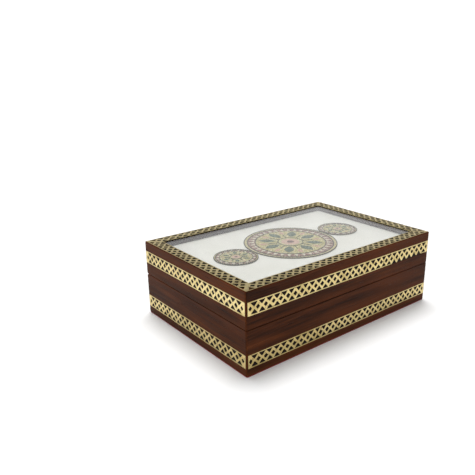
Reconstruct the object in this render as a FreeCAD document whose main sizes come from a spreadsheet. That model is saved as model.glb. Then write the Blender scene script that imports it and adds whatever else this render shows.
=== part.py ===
import FreeCAD, Part
import math
import os
import Sketcher

# Rectangular wooden box with a hinged lid, pierced brass strips let into its faces, and a picture
# under glass in the lid's frame.  Millimetres, +Z up, origin at the centre of the underside,
# front towards -Y, hinges at the back.

DIMENSIONS = {
    # whole box
    "box_length": 203.0,
    "box_depth": 137.0,
    "box_height": 64.5,
    "corner_radius": 1.4,
    "seam_height": 36.0,
    "seam_gap": 0.4,
    "edge_radius": 0.35,
    "wall_thickness": 8.0,
    # base
    "felt_thickness": 0.8,
    "felt_inset": 0.2,
    "floor_thickness": 4.0,
    "floor_tongue": 4.0,
    "lining_thickness": 1.2,
    "lining_drop": 0.8,
    "cushion_thickness": 2.0,
    "cushion_edge_radius": 0.8,
    # lid frame and the picture that it holds
    "rail_width": 9.2,
    "rail_height": 9.0,
    "rail_edge_radius": 0.7,
    "glass_thickness": 2.0,
    "air_gap": 4.4,
    "plate_thickness": 2.0,
    "pane_clearance": 0.2,
    "backing_thickness": 3.0,
    # relief of three round medallions in a row on the plate
    "relief_thickness": 1.2,
    "medallion_radius": 40.0,
    "side_medallion_radius": 20.0,
    "side_medallion_offset": 58.0,
    # pierced brass strips
    "strip_width": 10.2,
    "strip_thickness": 0.7,
    "groove_depth": 0.6,
    "groove_clearance": 0.05,
    "strip_end_gap": 1.4,
    "base_strip_bottom": 6.7,
    "lid_strip_bottom": 46.5,
    "top_strip_inset": 1.0,
    "cell_pitch": 6.75,
    "border_width": 0.8,
    "triangle_half_width": 2.7,
    "triangle_tip": 1.1,
    "diamond_half_width": 1.6,
    "diamond_half_height": 1.9,
    # hinges
    "hinge_spacing": 130.0,
    "hinge_length": 24.0,
    "hinge_inset": 1.9,
    "bevel_depth": 2.35,
    "knuckle_radius": 1.6,
    "knuckle_gap": 0.15,
    "knuckle_clearance": 0.3,
    "pin_radius": 0.7,
    "pin_head_radius": 1.1,
    "pin_head_height": 0.4,
    "pin_fit": 0.02,
    "pin_running_fit": 0.05,
    "leaf_thickness": 0.8,
    "leaf_width": 5.4,
    "leaf_gap": 0.2,
    "screw_spacing": 14.0,
    "screw_reach": 3.4,
    "screw_radius": 0.8,
    "screw_head_radius": 1.5,
    "screw_head_height": 0.7,
    "screw_length": 6.5,
    "screw_tip_length": 1.5,
    "screw_slot_width": 0.35,
    "screw_slot_depth": 0.3,
    "screw_clearance": 0.05,
}

LONG_SIDES = ("front", "back")
TURNS = {"front": 0, "right": 90, "back": 180, "left": 270}
SIDE_CELLS = {"front": 29, "back": 29, "left": 19, "right": 19}
TOP_CELLS = {"front": 27, "back": 27, "left": 17, "right": 17}

doc = FreeCAD.newDocument("inlaid_box")
sheet = doc.addObject("Spreadsheet::Sheet", "Sizes")
for row, (alias, value) in enumerate(DIMENSIONS.items(), start=1):
    sheet.set(f"A{row}", alias)
    sheet.set(f"B{row}", str(value))
    sheet.setAlias(f"B{row}", alias)
doc.recompute()


# ---------------------------------------------------------------- sizes

class Size:
    """A dimension as a number and as an expression over the sheet's cells."""

    def __init__(self, value, text):
        self.value = value
        self.text = text

    def __add__(self, other):
        other = as_size(other)
        return Size(self.value + other.value, f"({self.text} + {other.text})")

    def __sub__(self, other):
        other = as_size(other)
        return Size(self.value - other.value, f"({self.text} - {other.text})")

    def __mul__(self, other):
        other = as_size(other)
        return Size(self.value * other.value, f"({self.text} * {other.text})")

    def __truediv__(self, other):
        other = as_size(other)
        return Size(self.value / other.value, f"({self.text} / {other.text})")

    def __neg__(self):
        return self * -1


def as_size(value):
    return value if isinstance(value, Size) else Size(float(value), str(float(value)))


def cell(alias):
    return Size(DIMENSIONS[alias], f"Sizes.{alias}")


def bind(item, prop, size):
    """Set a property from the sheet, so that a changed cell changes it."""
    item.setExpression(prop, as_size(size).text)


ZERO = as_size(0)
HALF_ROOT = math.sqrt(0.5)

# heights of the layers, from the underside up
BASE_BOTTOM = cell("felt_thickness")
FLOOR_TOP = BASE_BOTTOM + cell("floor_thickness")
CUSHION_TOP = FLOOR_TOP + cell("cushion_thickness")
BASE_TOP = cell("seam_height") - cell("seam_gap") / 2
LID_BOTTOM = cell("seam_height") + cell("seam_gap") / 2
RAIL_BOTTOM = cell("box_height") - cell("rail_height")
GLASS_TOP = cell("box_height") - cell("groove_depth")
GLASS_BOTTOM = GLASS_TOP - cell("glass_thickness")
PLATE_TOP = GLASS_BOTTOM - cell("air_gap")
BACKING_BOTTOM = RAIL_BOTTOM - cell("backing_thickness")
LID_CUSHION_BOTTOM = BACKING_BOTTOM - cell("cushion_thickness")

# the glass and plate lie between the rails; the brass strips on top frame the visible opening
PANE_INSET = cell("rail_width") + cell("pane_clearance")
OPENING_INSET = cell("top_strip_inset") + cell("strip_width")

# the hinges' middles and each leaf's screws along X
HINGE_CENTRES = {"left": -(cell("hinge_spacing") / 2), "right": cell("hinge_spacing") / 2}
SCREW_OFFSETS = (-(cell("screw_spacing") / 2), cell("screw_spacing") / 2)
THIRD = cell("hinge_length") / 6


def run_of(side):
    """Length of the box along a side's outer face."""
    return cell("box_length") if side in LONG_SIDES else cell("box_depth")


def reach_of(side):
    """Distance from the box's middle to a side's outer face."""
    return (cell("box_depth") if side in LONG_SIDES else cell("box_length")) / 2


# ---------------------------------------------------------------- sketches and features

def new_body(label):
    body = doc.addObject("PartDesign::Body", label)
    body.Label = label
    return body


def new_sketch(body, plane, offset=ZERO):
    """Sketch on one of the body's own origin planes, moved along the plane's normal."""
    sketch = body.newObject("Sketcher::SketchObject", f"{body.Name}_sketch")
    origin_plane = next(f for f in body.Origin.OriginFeatures if f.Role == plane)
    sketch.AttachmentSupport = [(origin_plane, "")]
    sketch.MapMode = "FlatFace"
    bind(sketch, "AttachmentOffset.Base.z", offset)
    return sketch


def hold(sketch, constraint, size):
    """Add a dimension to a sketch and bind it to the sheet."""
    number = sketch.addConstraint(constraint)
    sketch.setExpression(f"Constraints[{number}]", size.text)


def hold_point(sketch, index, position, point):
    for kind, size in zip(("DistanceX", "DistanceY"), point):
        hold(sketch, Sketcher.Constraint(kind, -1, 1, index, position, size.value), size)


def arc_middle(first, last, radius):
    """Middle of the short arc from first to last that bulges to the right of the way."""
    half = (last - first).Length / 2
    rise = radius - math.sqrt(radius * radius - half * half)
    right = FreeCAD.Vector(last.y - first.y, first.x - last.x, 0).normalize()
    return (first + last) / 2 + right * rise


def add_outline(sketch, points, arcs=None):
    """Anticlockwise outline; arcs gives the radius of each side that is a round one, by its start."""
    arcs = arcs or {}
    points = [(as_size(x), as_size(y)) for x, y in points]
    corners = [FreeCAD.Vector(x.value, y.value, 0) for x, y in points]
    for start, first in enumerate(corners):
        end = (start + 1) % len(points)
        if start in arcs:
            middle = arc_middle(first, corners[end], arcs[start].value)
            index = sketch.addGeometry(Part.Arc(first, middle, corners[end]), False)
            hold(sketch, Sketcher.Constraint("Radius", index, arcs[start].value), arcs[start])
        else:
            index = sketch.addGeometry(Part.LineSegment(first, corners[end]), False)
        hold_point(sketch, index, 1, points[start])
        hold_point(sketch, index, 2, points[end])


def add_circle(sketch, x, y, radius):
    centre = FreeCAD.Vector(x.value, y.value, 0)
    circle = Part.Circle(centre, FreeCAD.Vector(0, 0, 1), radius.value)
    index = sketch.addGeometry(circle, False)
    hold_point(sketch, index, 3, (x, y))
    hold(sketch, Sketcher.Constraint("Radius", index, radius.value), radius)


def rectangle(x_low, y_low, x_high, y_high):
    return [(x_low, y_low), (x_high, y_low), (x_high, y_high), (x_low, y_high)]


def pad(body, sketch, length):
    feature = body.newObject("PartDesign::Pad", f"{body.Name}_pad")
    feature.Profile = sketch
    bind(feature, "Length", length)
    doc.recompute()
    return feature


def pocket(body, sketch, depth, both_ways=False, upward=False):
    """Cut a sketch into the solid, and stop if that removes nothing."""
    before = body.Shape.Volume
    feature = body.newObject("PartDesign::Pocket", f"{body.Name}_pocket")
    feature.Profile = sketch
    bind(feature, "Length", depth)
    feature.SideType = "Symmetric" if both_ways else "One side"
    feature.Reversed = upward
    doc.recompute()
    if not body.Shape.Volume < before - 1e-6:
        raise RuntimeError(f"{feature.Name} in {body.Label} cuts nothing")
    return feature


def repeat_along_x(body, feature, sketch, pitch, count):
    pattern = body.newObject("PartDesign::LinearPattern", f"{body.Name}_pattern")
    pattern.Originals = [feature]
    pattern.Direction = (sketch, ["H_Axis"])
    bind(pattern, "Length", pitch * (count - 1))
    pattern.Occurrences = count
    body.Tip = pattern
    doc.recompute()


def round_edges(body, radius, chosen):
    """Round the edges of the body's solid for which chosen(edge) holds."""
    tip = body.Tip
    names = [f"Edge{number}" for number, edge in enumerate(tip.Shape.Edges, start=1) if chosen(edge)]
    feature = body.newObject("PartDesign::Fillet", f"{body.Name}_fillet")
    feature.Base = (tip, names)
    bind(feature, "Radius", radius)
    doc.recompute()


def outer_edges(side, height):
    """Chooser of a piece's level edges at a height along its outer face and its rounded corners."""
    limit = cell("corner_radius").value / 2 - reach_of(side).value

    def chosen(edge):
        box = edge.BoundBox
        level = max(abs(box.ZMin - height.value), abs(box.ZMax - height.value)) < 1e-4
        return level and edge.CenterOfMass.y < limit
    return chosen


subparts = []


def keep(item, side="front", x=ZERO, y=ZERO, z=ZERO):
    """Turn a piece made as a front one to its side, move it, and list it as a sub-part."""
    turn = FreeCAD.Rotation(FreeCAD.Vector(0, 0, 1), TURNS[side])
    item.Placement = FreeCAD.Placement(FreeCAD.Vector(0, 0, 0), turn)
    bind(item, "Placement.Base.x", x)
    bind(item, "Placement.Base.y", y)
    bind(item, "Placement.Base.z", z)
    subparts.append(item)


# ---------------------------------------------------------------- mitred pieces

def mitred_sketch(body, side, inset, width, height, radius=None):
    """Plan of one mitred piece of a four-piece ring, drawn as the front one."""
    half = run_of(side) / 2 - inset
    outer = -(reach_of(side) - inset)
    inner_half = half - width
    inner = outer + width
    sketch = new_sketch(body, "XY_Plane", height)
    if radius is None:
        add_outline(sketch, [(-half, outer), (half, outer), (inner_half, inner), (-inner_half, inner)])
        return sketch
    cut = radius * (1 - HALF_ROOT)
    corners = [(-half + radius, outer), (half - radius, outer), (half - cut, outer + cut),
               (inner_half, inner), (-inner_half, inner), (-half + cut, outer + cut)]
    add_outline(sketch, corners, {1: radius, 5: radius})
    return sketch


def add_layer(body, side, width, low, high):
    """Layer of a wall or rail, from its outer face inwards."""
    sketch = mitred_sketch(body, side, ZERO, width, low, cell("corner_radius"))
    pad(body, sketch, high - low)


def plain_ring_piece(label, side, inset, width, low, high):
    body = new_body(label)
    pad(body, mitred_sketch(body, side, inset, width, low), high - low)
    keep(body, side)


def cut_side_groove(body, side, strip_bottom):
    """Groove for a brass strip along the outer face."""
    half = run_of(side) / 2 - cell("strip_end_gap") + cell("groove_clearance")
    low = strip_bottom - cell("groove_clearance")
    high = strip_bottom + cell("strip_width") + cell("groove_clearance")
    sketch = new_sketch(body, "XZ_Plane", reach_of(side))
    add_outline(sketch, rectangle(-half, low, half, high))
    pocket(body, sketch, cell("groove_depth"))


def cut_bevel(body, side, height, way):
    """Bevel along the back of the seam, so that the lid can swing; way is +1 in the lid, -1 below."""
    near = cell("box_depth") / 2 - cell("hinge_inset")
    past = cell("box_depth") / 2 + cell("hinge_inset")
    if side in ("back", "left"):
        near, past = -near, -past
    outline = [(near, height), (near, height - way), (past, height - way),
               (past, height + cell("bevel_depth") * (2 * way))]
    if (past.value - near.value) * way > 0:
        outline.reverse()
    sketch = new_sketch(body, "YZ_Plane" if side == "back" else "XZ_Plane")
    add_outline(sketch, outline)
    pocket(body, sketch, cell("box_length") * 2, both_ways=True)


def cut_hinge_seats(body, height, way):
    """Mortises, barrel reliefs and screw holes for both hinges in a back wall."""
    half = cell("hinge_length") / 2 + cell("knuckle_gap")
    axis_y = cell("hinge_inset") - cell("box_depth") / 2
    leaf_edge = axis_y + cell("leaf_width") + cell("knuckle_gap")
    leaf_depth = cell("leaf_gap") / 2 + cell("leaf_thickness") - cell("seam_gap") / 2
    hole_depth = cell("screw_length") - cell("leaf_thickness") + cell("knuckle_clearance")
    for centre in HINGE_CENTRES.values():
        barrel = new_sketch(body, "YZ_Plane", centre)
        add_circle(barrel, axis_y, cell("seam_height"),
                   cell("knuckle_radius") + cell("knuckle_clearance"))
        pocket(body, barrel, (half + cell("pin_head_height")) * 2, both_ways=True)
        mortise = new_sketch(body, "XY_Plane", height)
        add_outline(mortise, rectangle(centre - half, axis_y, centre + half, leaf_edge))
        pocket(body, mortise, leaf_depth, upward=way > 0)
        holes = new_sketch(body, "XY_Plane", height + leaf_depth * way)
        for offset in SCREW_OFFSETS:
            add_circle(holes, centre + offset, axis_y + cell("screw_reach"),
                       cell("screw_radius") + cell("screw_clearance"))
        pocket(body, holes, hole_depth, upward=way > 0)


def base_wall(side):
    """Base wall with a tongue below for the floor, a brass groove and the seam's bevel."""
    body = new_body(f"base_{side}_wall")
    add_layer(body, side, cell("wall_thickness") - cell("floor_tongue"), BASE_BOTTOM, FLOOR_TOP)
    add_layer(body, side, cell("wall_thickness"), FLOOR_TOP, BASE_TOP)
    cut_side_groove(body, side, cell("base_strip_bottom"))
    if side != "front":
        cut_bevel(body, side, BASE_TOP, -1)
    if side == "back":
        cut_hinge_seats(body, BASE_TOP, -1)
    else:
        round_edges(body, cell("edge_radius"), outer_edges(side, BASE_TOP))
    round_edges(body, cell("edge_radius"), outer_edges(side, BASE_BOTTOM))
    keep(body, side)


def lid_wall(side):
    """Lid wall below the frame rail."""
    body = new_body(f"lid_{side}_wall")
    add_layer(body, side, cell("wall_thickness"), LID_BOTTOM, RAIL_BOTTOM)
    cut_side_groove(body, side, cell("lid_strip_bottom"))
    if side != "front":
        cut_bevel(body, side, LID_BOTTOM, 1)
    if side == "back":
        cut_hinge_seats(body, LID_BOTTOM, 1)
    else:
        round_edges(body, cell("edge_radius"), outer_edges(side, LID_BOTTOM))
    keep(body, side)


def lid_rail(side):
    """Rail of the picture frame; its top groove is open inwards, so the brass reaches over the glass."""
    body = new_body(f"lid_{side}_rail")
    add_layer(body, side, cell("rail_width"), RAIL_BOTTOM, cell("box_height"))
    round_edges(body, cell("rail_edge_radius"), outer_edges(side, cell("box_height")))
    cut_side_groove(body, side, cell("lid_strip_bottom"))
    clearance = cell("groove_clearance")
    top_groove = mitred_sketch(body, side, cell("top_strip_inset") - clearance,
                               cell("strip_width") + clearance * 2, cell("box_height"))
    pocket(body, top_groove, cell("groove_depth"))
    keep(body, side)


# ---------------------------------------------------------------- brass strips

def add_diamond(sketch, x, y):
    wide, high = cell("diamond_half_width"), cell("diamond_half_height")
    add_outline(sketch, [(x - wide, y), (x, y - high), (x + wide, y), (x, y + high)])


def add_triangles(sketch, x, y):
    """Openings above and below the crossing of an X."""
    wide, tip = cell("triangle_half_width"), cell("triangle_tip")
    rim = cell("strip_width") / 2 - cell("border_width")
    add_outline(sketch, [(x - wide, y + rim), (x, y + tip), (x + wide, y + rim)])
    add_outline(sketch, [(x + wide, y - rim), (x, y - tip), (x - wide, y - rim)])


def pierce(body, plane, surface, middle, cells):
    """Row of crosses: a diamond between neighbours and a triangle above and below each."""
    pitch = cell("cell_pitch")
    start = pitch * (-cells / 2)
    first = new_sketch(body, plane, surface)
    add_diamond(first, start, middle)
    add_triangles(first, start + pitch / 2, middle)
    opening = pocket(body, first, cell("strip_thickness"))
    last = new_sketch(body, plane, surface)
    add_diamond(last, start + pitch * cells, middle)
    repeat_along_x(body, opening, first, pitch, cells)
    pocket(body, last, cell("strip_thickness"))


def side_strip(label, side, bottom):
    body = new_body(label)
    half = run_of(side) / 2 - cell("strip_end_gap")
    seat = reach_of(side) - cell("groove_depth")
    sketch = new_sketch(body, "XZ_Plane", seat)
    add_outline(sketch, rectangle(-half, bottom, half, bottom + cell("strip_width")))
    pad(body, sketch, cell("strip_thickness"))
    pierce(body, "XZ_Plane", seat + cell("strip_thickness"), bottom + cell("strip_width") / 2,
           SIDE_CELLS[side])
    keep(body, side)


def top_strip(side):
    body = new_body(f"top_strip_{side}")
    seat = cell("box_height") - cell("groove_depth")
    sketch = mitred_sketch(body, side, cell("top_strip_inset"), cell("strip_width"), seat)
    pad(body, sketch, cell("strip_thickness"))
    middle = cell("top_strip_inset") + cell("strip_width") / 2 - reach_of(side)
    pierce(body, "XY_Plane", seat + cell("strip_thickness"), middle, TOP_CELLS[side])
    keep(body, side)


# ---------------------------------------------------------------- boards, glass and cushions

def board(label, inset, low, high):
    """Flat rectangular piece, its edges all the same distance inside the box's faces."""
    body = new_body(label)
    half_x = cell("box_length") / 2 - inset
    half_y = cell("box_depth") / 2 - inset
    sketch = new_sketch(body, "XY_Plane", low)
    add_outline(sketch, rectangle(-half_x, -half_y, half_x, half_y))
    pad(body, sketch, high - low)
    return body


def cushion(label, low, high, soft_height):
    """Padded velvet panel with soft edges on the side that shows."""
    body = board(label, cell("wall_thickness") + cell("pane_clearance"), low, high)
    round_edges(body, cell("cushion_edge_radius"),
                lambda edge: abs(edge.BoundBox.ZMin - soft_height.value) < 1e-4)
    keep(body)


def underside_felt():
    body = board("underside_felt", cell("felt_inset"), ZERO, BASE_BOTTOM)
    round_edges(body, cell("corner_radius"),
                lambda edge: edge.BoundBox.ZLength > BASE_BOTTOM.value / 2)
    keep(body)


def picture_relief():
    """Three round medallions in low relief, a large one between two small ones that it overlaps."""
    low, high = PLATE_TOP, PLATE_TOP + cell("relief_thickness")
    side_radius, offset = cell("side_medallion_radius"), cell("side_medallion_offset")
    body = new_body("picture_relief")
    for x, radius in ((-offset, side_radius), (ZERO, cell("medallion_radius")), (offset, side_radius)):
        disc = new_sketch(body, "XY_Plane", low)
        add_circle(disc, x, ZERO, radius)
        pad(body, disc, high - low)
    keep(body)


# ---------------------------------------------------------------- hinges

def box_solid(name, x_low, y_low, z_low, x_high, y_high, z_high):
    solid = doc.addObject("Part::Box", name)
    bind(solid, "Length", x_high - x_low)
    bind(solid, "Width", y_high - y_low)
    bind(solid, "Height", z_high - z_low)
    bind(solid, "Placement.Base.x", x_low)
    bind(solid, "Placement.Base.y", y_low)
    bind(solid, "Placement.Base.z", z_low)
    return solid


def rod_along_x(name, radius, x_low, x_high):
    rod = doc.addObject("Part::Cylinder", name)
    rod.Placement = FreeCAD.Placement(FreeCAD.Vector(0, 0, 0),
                                      FreeCAD.Rotation(FreeCAD.Vector(0, 1, 0), 90))
    bind(rod, "Radius", radius)
    bind(rod, "Height", x_high - x_low)
    bind(rod, "Placement.Base.x", x_low)
    return rod


def upright(kind, name, x, y, z, sizes):
    """Cylinder or cone that stands along Z."""
    solid = doc.addObject(kind, name)
    for prop, size in sizes.items():
        bind(solid, prop, size)
    bind(solid, "Placement.Base.x", x)
    bind(solid, "Placement.Base.y", y)
    bind(solid, "Placement.Base.z", z)
    return solid


def fuse(name, solids):
    joined = doc.addObject("Part::MultiFuse", name)
    joined.Shapes = solids
    return joined


def cut(name, base, tool):
    remainder = doc.addObject("Part::Cut", name)
    remainder.Base = base
    remainder.Tool = tool
    return remainder


def knuckle_spans(is_base):
    """Stretches of the barrel, along X, that belong to a leaf."""
    half_gap = cell("knuckle_gap") / 2
    end = cell("hinge_length") / 2
    if is_base:
        return [(-end, -(THIRD + half_gap)), (THIRD + half_gap, end)]
    return [(-(THIRD - half_gap), THIRD - half_gap)]


def notch_spans(is_base):
    """Stretches of a leaf's edge that are cut back for the other leaf's knuckles."""
    half_gap = cell("knuckle_gap") / 2
    end = cell("hinge_length") / 2
    if is_base:
        return [(-(THIRD + half_gap), THIRD + half_gap)]
    return [(-end, -(THIRD - half_gap)), (THIRD - half_gap, end)]


def hinge_leaf(label, hinge_side, is_base):
    """Leaf with its knuckles and countersunk holes; X is the hinge's axis, the leaf lies along +Y."""
    way = -1 if is_base else 1
    end = cell("hinge_length") / 2
    face = cell("leaf_gap") / 2
    far = face + cell("leaf_thickness")
    z_low, z_high = (-far, -face) if is_base else (face, far)
    plate = box_solid(f"{label}_plate", -end, ZERO, z_low, end, cell("leaf_width"), z_high)
    notches = [box_solid(f"{label}_notch", low, -(cell("leaf_width")), z_low, high,
                         cell("knuckle_radius") + cell("knuckle_clearance"), z_high)
               for low, high in notch_spans(is_base)]
    knuckles = [rod_along_x(f"{label}_knuckle", cell("knuckle_radius"), low, high)
                for low, high in knuckle_spans(is_base)]
    notched = cut(f"{label}_notched", plate, fuse(f"{label}_notches", notches)
                  if len(notches) > 1 else notches[0])
    solid = fuse(f"{label}_solid", [notched] + knuckles)
    fit = cell("pin_fit") if is_base else cell("pin_running_fit")
    tools = [rod_along_x(f"{label}_bore", cell("pin_radius") + fit, -end * 2, end * 2)]
    clearance = cell("screw_clearance")
    for offset in SCREW_OFFSETS:
        tools.append(upright("Part::Cylinder", f"{label}_hole", offset, cell("screw_reach"),
                             z_low, {"Radius": cell("screw_radius") + clearance,
                                     "Height": cell("leaf_thickness")}))
        wide = cell("screw_head_radius") + clearance
        narrow = cell("screw_radius") + clearance
        cone_sizes = {"Radius1": narrow if is_base else wide, "Radius2": wide if is_base else narrow,
                      "Height": cell("screw_head_height")}
        cone_z = z_high - cell("screw_head_height") if is_base else z_low
        tools.append(upright("Part::Cone", f"{label}_countersink", offset, cell("screw_reach"),
                             cone_z, cone_sizes))
    leaf = cut(label, solid, fuse(f"{label}_tools", tools))
    leaf.Label = label
    keep(leaf, "back", HINGE_CENTRES[hinge_side], cell("box_depth") / 2 - cell("hinge_inset"),
         cell("seam_height"))


def hinge_pin(label, hinge_side):
    """Pin through the barrel with a small head at each end."""
    end = cell("hinge_length") / 2
    head = cell("pin_head_height")
    rods = [rod_along_x(f"{label}_shaft", cell("pin_radius"), -end, end),
            rod_along_x(f"{label}_head", cell("pin_head_radius"), end, end + head),
            rod_along_x(f"{label}_head", cell("pin_head_radius"), -end - head, -end)]
    pin = fuse(label, rods)
    pin.Label = label
    keep(pin, "back", HINGE_CENTRES[hinge_side], cell("box_depth") / 2 - cell("hinge_inset"),
         cell("seam_height"))


def countersunk_screw(name, x, is_base):
    """Slotted wood screw, pointing down into the base or up into the lid."""
    y = cell("screw_reach")
    face = cell("leaf_gap") / 2
    head = cell("screw_head_height")
    shank = cell("screw_length") - head - cell("screw_tip_length")
    thin = cell("screw_radius") / 4
    slot_half = cell("screw_slot_width") / 2
    if is_base:
        head_z, shank_z = -face - head, -face - head - shank
        tip_z = shank_z - cell("screw_tip_length")
        slot_low, slot_high = -face - cell("screw_slot_depth"), -face
    else:
        head_z, shank_z, tip_z = face, face + head, face + head + shank
        slot_low, slot_high = face, face + cell("screw_slot_depth")
    near = cell("screw_head_radius"), cell("screw_radius")
    head_low, head_high = reversed(near) if is_base else near
    tip_low, tip_high = (thin, cell("screw_radius")) if is_base else (cell("screw_radius"), thin)
    solid = fuse(f"{name}_solid", [
        upright("Part::Cone", f"{name}_head", x, y, head_z,
                {"Radius1": head_low, "Radius2": head_high, "Height": head}),
        upright("Part::Cylinder", f"{name}_shank", x, y, shank_z,
                {"Radius": cell("screw_radius"), "Height": shank}),
        upright("Part::Cone", f"{name}_tip", x, y, tip_z,
                {"Radius1": tip_low, "Radius2": tip_high, "Height": cell("screw_tip_length")})])
    reach = cell("screw_head_radius")
    slot = box_solid(f"{name}_slot", x - reach, y - slot_half, slot_low, x + reach, y + slot_half,
                     slot_high)
    return cut(name, solid, slot)


def hinge_screws(label, is_base):
    """All the screws of one half of the hinges, as a group of separate solids."""
    screws = [countersunk_screw(f"{label}_{side}_{number}", centre + offset, is_base)
              for side, centre in HINGE_CENTRES.items()
              for number, offset in enumerate(SCREW_OFFSETS)]
    group = doc.addObject("Part::Compound", label)
    group.Links = screws
    group.Label = label
    keep(group, "back", ZERO, cell("box_depth") / 2 - cell("hinge_inset"), cell("seam_height"))


# ---------------------------------------------------------------- the box

for side in TURNS:
    base_wall(side)
    lid_wall(side)
    lid_rail(side)
    side_strip(f"base_strip_{side}", side, cell("base_strip_bottom"))
    side_strip(f"lid_strip_{side}", side, cell("lid_strip_bottom"))
    top_strip(side)
    plain_ring_piece(f"base_lining_{side}", side, cell("wall_thickness"), cell("lining_thickness"),
                     CUSHION_TOP, BASE_TOP - cell("lining_drop"))
    plain_ring_piece(f"lid_lining_{side}", side, cell("wall_thickness"), cell("lining_thickness"),
                     LID_BOTTOM + cell("lining_drop"), LID_CUSHION_BOTTOM)
    plain_ring_piece(f"glass_spacer_{side}", side,
                     PANE_INSET, OPENING_INSET - PANE_INSET, PLATE_TOP, GLASS_BOTTOM)

underside_felt()
keep(board("base_floor", cell("wall_thickness") - cell("floor_tongue"), BASE_BOTTOM, FLOOR_TOP))
cushion("base_cushion", FLOOR_TOP, CUSHION_TOP, CUSHION_TOP)
keep(board("glass_pane", PANE_INSET, GLASS_BOTTOM, GLASS_TOP))
keep(board("picture_plate", PANE_INSET, RAIL_BOTTOM, PLATE_TOP))
picture_relief()
keep(board("lid_backing", cell("wall_thickness") + cell("pane_clearance"), BACKING_BOTTOM, RAIL_BOTTOM))
cushion("lid_cushion", LID_CUSHION_BOTTOM, BACKING_BOTTOM, LID_CUSHION_BOTTOM)

for hinge_side in HINGE_CENTRES:
    hinge_leaf(f"{hinge_side}_hinge_base_leaf", hinge_side, True)
    hinge_leaf(f"{hinge_side}_hinge_lid_leaf", hinge_side, False)
    hinge_pin(f"{hinge_side}_hinge_pin", hinge_side)
hinge_screws("base_hinge_screws", True)
hinge_screws("lid_hinge_screws", False)

doc.recompute()
for item in doc.Objects:
    if {"Invalid", "Error"} & set(item.State):
        raise RuntimeError(f"{item.Name} failed: {item.State}")
for item in subparts:
    if item.Shape.isNull() or not item.Shape.isValid() or not item.Shape.Solids:
        raise RuntimeError(f"{item.Label} has no valid solid")

os.makedirs("parts", exist_ok=True)
for item in subparts:
    item.Shape.exportStep(f"parts/{item.Label}.step")
    print(f"{item.Label}: {len(item.Shape.Solids)} solid, {item.Shape.Volume / 1000:.2f} cm3")
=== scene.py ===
import math
import random

import bpy
from mathutils import Matrix, Vector
from mathutils.geometry import delaunay_2d_cdt


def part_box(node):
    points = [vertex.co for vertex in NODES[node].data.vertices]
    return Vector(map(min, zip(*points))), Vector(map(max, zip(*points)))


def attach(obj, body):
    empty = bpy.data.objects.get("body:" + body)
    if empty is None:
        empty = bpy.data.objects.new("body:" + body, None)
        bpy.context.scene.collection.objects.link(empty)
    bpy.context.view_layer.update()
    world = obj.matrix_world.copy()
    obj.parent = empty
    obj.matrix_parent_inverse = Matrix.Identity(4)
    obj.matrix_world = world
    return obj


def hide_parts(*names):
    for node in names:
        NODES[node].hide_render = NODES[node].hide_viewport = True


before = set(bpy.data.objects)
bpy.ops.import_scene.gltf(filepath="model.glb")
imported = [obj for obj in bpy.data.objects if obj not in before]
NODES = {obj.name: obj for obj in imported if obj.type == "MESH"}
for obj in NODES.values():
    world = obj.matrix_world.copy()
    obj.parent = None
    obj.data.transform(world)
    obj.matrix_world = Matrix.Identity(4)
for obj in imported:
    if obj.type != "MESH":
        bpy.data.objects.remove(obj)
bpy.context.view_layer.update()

# Looks of the inlaid box: wood, pierced brass, glass, the picture under it, velvet and felt.
# Lengths called mm are turned into metres with MM; positions come from the frame.

MM = 0.001
SIDES = {"front": 0, "right": 90, "back": 180, "left": 270}


# ---------------------------------------------------------------- materials

class Graph:
    """One procedural material and short calls that add nodes to it."""

    def __init__(self, name):
        self.material = bpy.data.materials.new(name)
        self.material.use_nodes = True
        self.tree = self.material.node_tree
        self.shader = self.tree.nodes["Principled BSDF"]

    def add(self, kind, values=None, **properties):
        """Node of a kind; values sets or links its inputs by name or number."""
        node = self.tree.nodes.new("ShaderNode" + kind)
        for name, value in properties.items():
            setattr(node, name, value)
        for key, value in (values or {}).items():
            self.put(node.inputs[key], value)
        return node

    def put(self, socket, value):
        if isinstance(value, bpy.types.NodeSocket):
            self.tree.links.new(value, socket)
        else:
            socket.default_value = value

    def look(self, **values):
        """Sets or links the shader's inputs; underscores stand for spaces."""
        for key, value in values.items():
            self.put(self.shader.inputs[key.replace("_", " ")], value)

    def place(self, scale, offset=(0, 0, 0)):
        """The object's own coordinates, in metres, scaled and shifted."""
        coordinates = self.add("TexCoord").outputs["Object"]
        mapping = self.add("Mapping", {"Vector": coordinates, "Scale": scale, "Location": offset})
        return mapping.outputs["Vector"]

    def noise(self, vector, scale=1.0, detail=4.0, roughness=0.5, distortion=0.0):
        node = self.add("TexNoise", {"Vector": vector, "Scale": scale, "Detail": detail,
                                     "Roughness": roughness, "Distortion": distortion})
        return node.outputs["Fac"]

    def math(self, operation, first, second=0.0, clamp=False):
        node = self.add("Math", {0: first, 1: second}, operation=operation, use_clamp=clamp)
        return node.outputs["Value"]

    def span(self, value, low, high, to_low=0.0, to_high=1.0):
        """Value mapped from one range to another, and held inside it."""
        node = self.add("MapRange", {"Value": value, "From Min": low, "From Max": high,
                                     "To Min": to_low, "To Max": to_high})
        return node.outputs["Result"]

    def ramp(self, value, stops):
        """Colour ramp through (position, linear colour) stops."""
        node = self.add("ValToRGB", {"Fac": value})
        elements = node.color_ramp.elements
        while len(elements) < len(stops):
            elements.new(0.5)
        for element, (position, colour) in zip(elements, stops):
            element.position = position
            element.color = (*colour, 1)
        return node.outputs["Color"]

    def mix(self, fraction, first, second, blend="MIX"):
        node = self.add("Mix", {"Factor": fraction}, data_type="RGBA", blend_type=blend)
        for socket, value in zip(node.inputs[6:8], (first, second)):
            self.put(socket, value if isinstance(value, bpy.types.NodeSocket) else (*value, 1))
        return node.outputs[2]

    def bump(self, height, distance, strength=1.0):
        """Surface relief from a height between 0 and 1, in metres."""
        node = self.add("Bump", {"Height": height, "Distance": distance, "Strength": strength})
        self.put(self.shader.inputs["Normal"], node.outputs["Normal"])
        return node.outputs["Normal"]


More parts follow.
